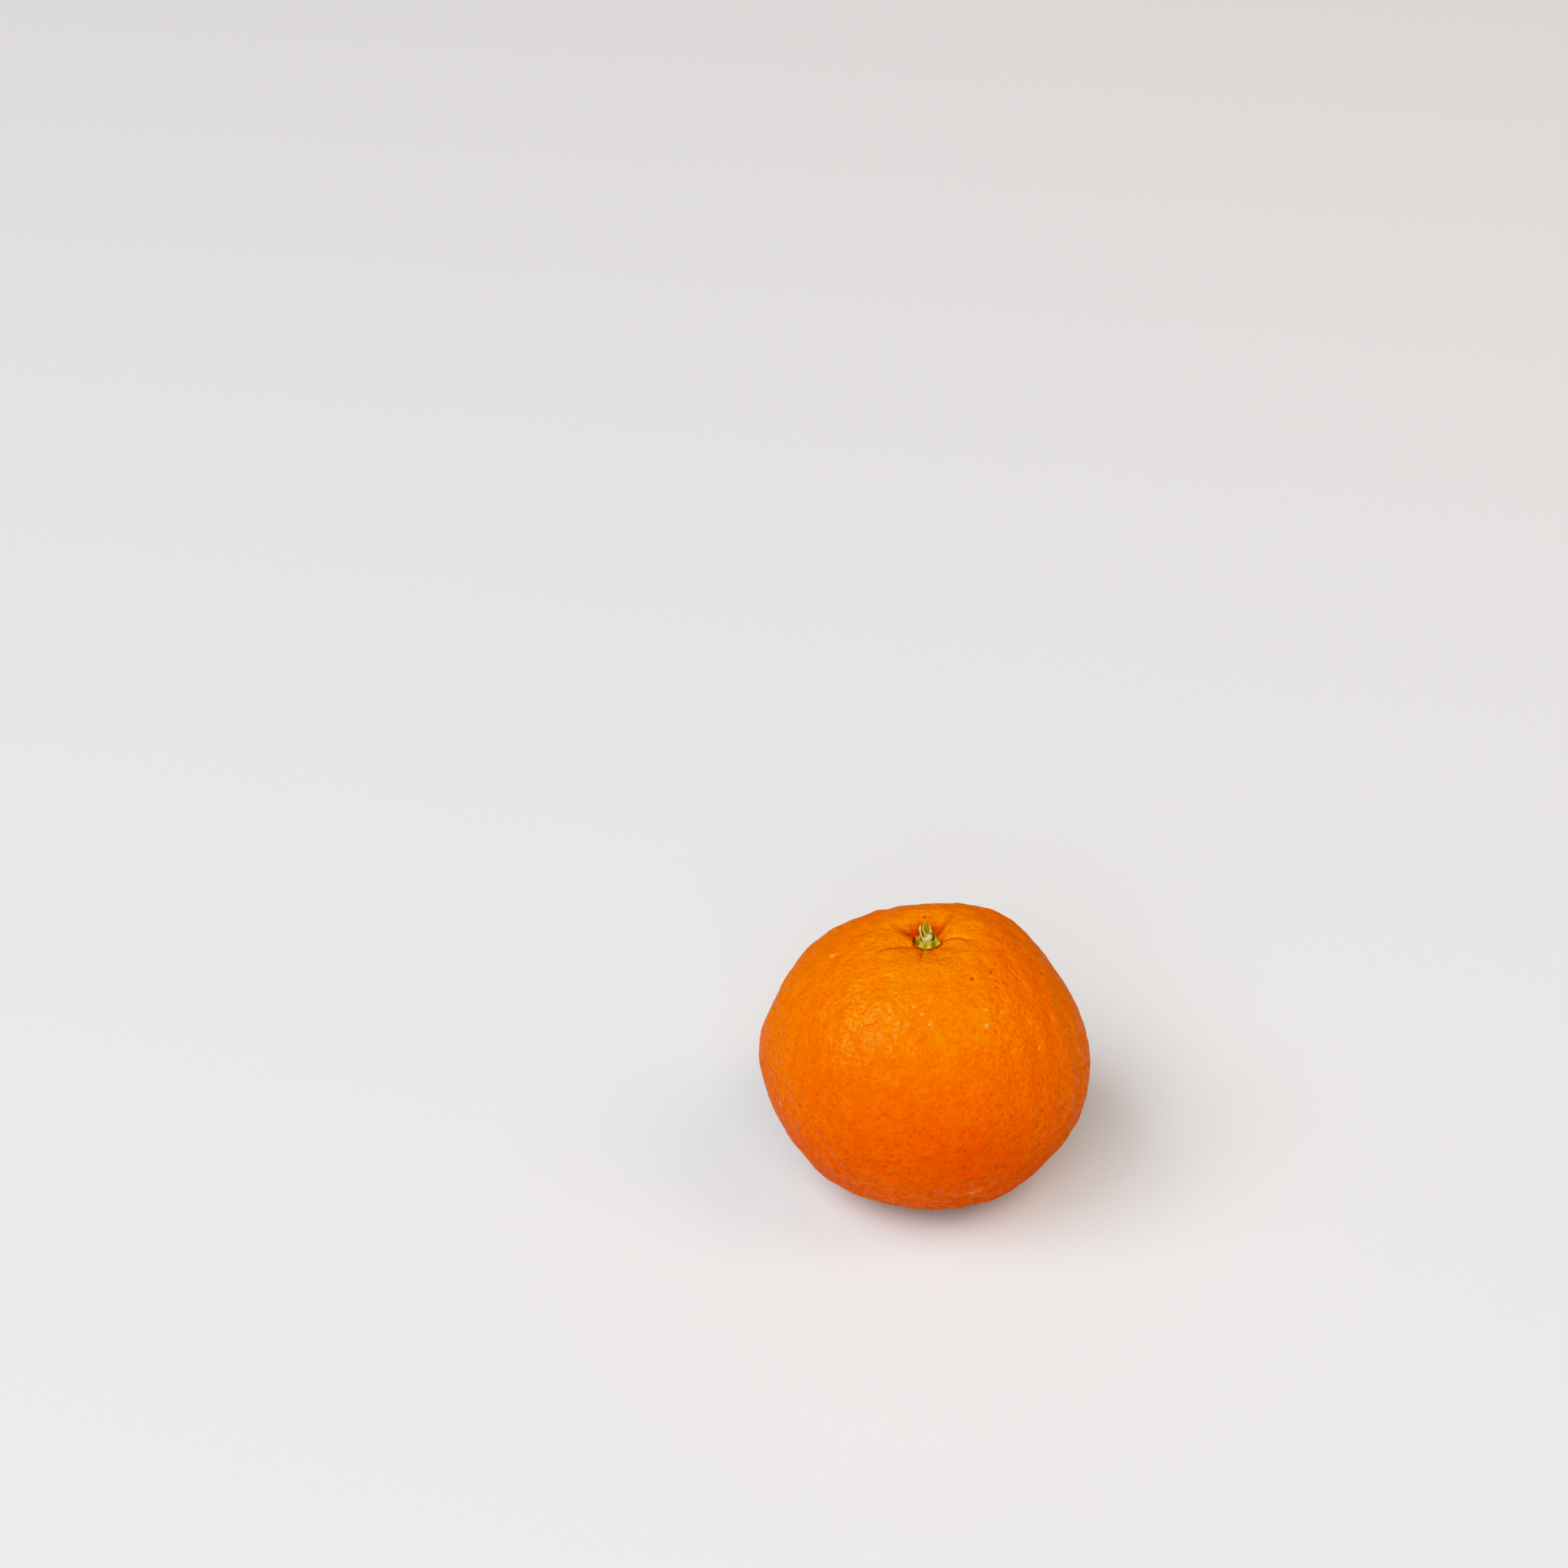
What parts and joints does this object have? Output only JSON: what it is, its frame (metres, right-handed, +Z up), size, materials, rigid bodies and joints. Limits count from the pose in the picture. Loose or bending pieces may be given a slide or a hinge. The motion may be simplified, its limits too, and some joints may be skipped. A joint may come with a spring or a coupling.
{
  "type": "mandarin",
  "caption": "Whole mandarin fruit with pebbled orange peel, a furrowed stem hollow, a green five-lobed calyx and a broken stem stub, resting on its blossom end.",
  "frame": {"origin": "middle of the small flat at the blossom end, on which the fruit rests", "axes": "+Z up the fruit's own axis, from the blossom end to the stem; -Y to the side that shows best; +X to its right"},
  "size_m": [0.0641, 0.0638, 0.0582],
  "materials": {
    "peel": "satin",
    "calyx": "satin",
    "stem": "matte"
  },
  "bodies": {
    "root": {"fruit": "peel", "calyx": "calyx", "stem_stub": "stem"}
  },
  "joints": []
}
